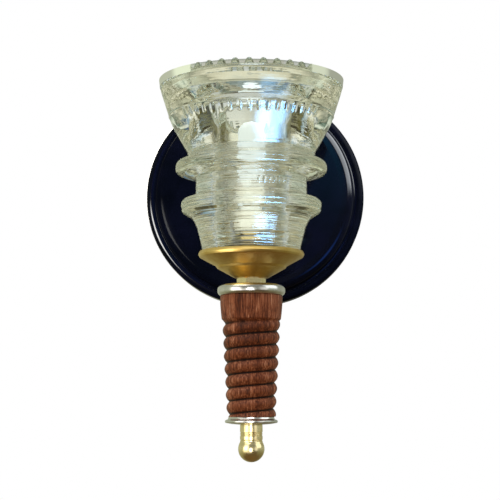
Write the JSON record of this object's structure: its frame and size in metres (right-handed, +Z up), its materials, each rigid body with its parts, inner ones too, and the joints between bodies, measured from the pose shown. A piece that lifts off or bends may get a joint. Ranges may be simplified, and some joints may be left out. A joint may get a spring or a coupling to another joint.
{
  "type": "pin insulator wall sconce",
  "caption": "Wall sconce: an inverted clear glass pin insulator in a brass cup on a threaded wood pin with a ball finial, carried by a bent arm on a round black canopy.",
  "frame": {"origin": "centre of the round canopy on the wall plane, which is also the middle of the strap's two screw slots", "axes": "+X to the right as seen by someone facing the wall, +Y into the wall, +Z up along the glass and the pin; the front of the lamp faces -Y"},
  "size_m": [0.1222, 0.1365, 0.2068],
  "materials": {
    "black_enamel": "gloss black enamel on spun steel",
    "zinc_steel": "zinc plated steel",
    "nickel": "polished nickel",
    "satin_brass": "satin brass, brushed in turning",
    "polished_brass": "polished brass",
    "clear_glass": "pressed clear glass with a faint green cast",
    "stained_wood": "red-brown stained locust, satin",
    "black_rubber": "matt black rubber",
    "white_ceramic": "glazed steatite",
    "bulb_diffuser": "frosted lamp capsule",
    "bulb_body": "white moulded lamp base",
    "phosphor": "yellow LED phosphor on a white column",
    "green_screw": "green dyed steel",
    "black_insulation": "black wire insulation",
    "white_insulation": "white wire insulation",
    "green_insulation": "green wire insulation",
    "orange_plastic": "ribbed moulded plastic"
  },
  "bodies": {
    "fixture": {"canopy": "black_enamel", "mounting_strap": "zinc_steel", "canopy_screws": "black_enamel", "ground_screw": "green_screw", "ring_terminal": "zinc_steel", "ground_lead": "green_insulation", "arm_lock_washer": "zinc_steel", "arm_locknut": "satin_brass", "arm_collar": "black_enamel", "arm_tube": "black_enamel", "side_outlet_coupling": "satin_brass", "wood_pin": "stained_wood", "tie_rod": "zinc_steel", "top_ring": "nickel", "upper_nipple": "satin_brass", "hex_nut": "polished_brass", "brass_cup": "satin_brass", "cup_seat": "black_rubber", "glass_insulator": "clear_glass", "inner_gasket": "black_rubber", "inner_washer": "zinc_steel", "inner_locknut": "polished_brass", "socket_bracket": "zinc_steel", "lamp_socket": "white_ceramic", "socket_contacts": "polished_brass", "lead_black": "black_insulation", "lead_white": "white_insulation", "wire_connectors": "orange_plastic"},
    "flare_ring": {"flare_ring": "nickel"},
    "finial": {"finial": "polished_brass"},
    "bulb": {"bulb_base": "bulb_body", "bulb_pins": "zinc_steel", "bulb_capsule": "bulb_diffuser", "bulb_core": "phosphor"}
  },
  "joints": [
    {"name": "bulb_pull", "type": "slide", "parent": "fixture", "child": "bulb", "axis": [0, 0, 1], "range_m": [0, 0.075]},
    {"name": "flare_ring_drop", "type": "slide", "parent": "fixture", "child": "flare_ring", "axis": [0, 0, -1], "range_m": [0, 0.0048]},
    {"name": "finial_turn", "type": "hinge", "parent": "flare_ring", "child": "finial", "pos_m": [0, -0.09, -0.13], "axis": [0, 0, -1], "range_deg": [0, 1800]}
  ],
  "couplings": [
    {"joint": "flare_ring_drop", "follows": "finial_turn", "m_per_rad": 0.00014972}
  ]
}
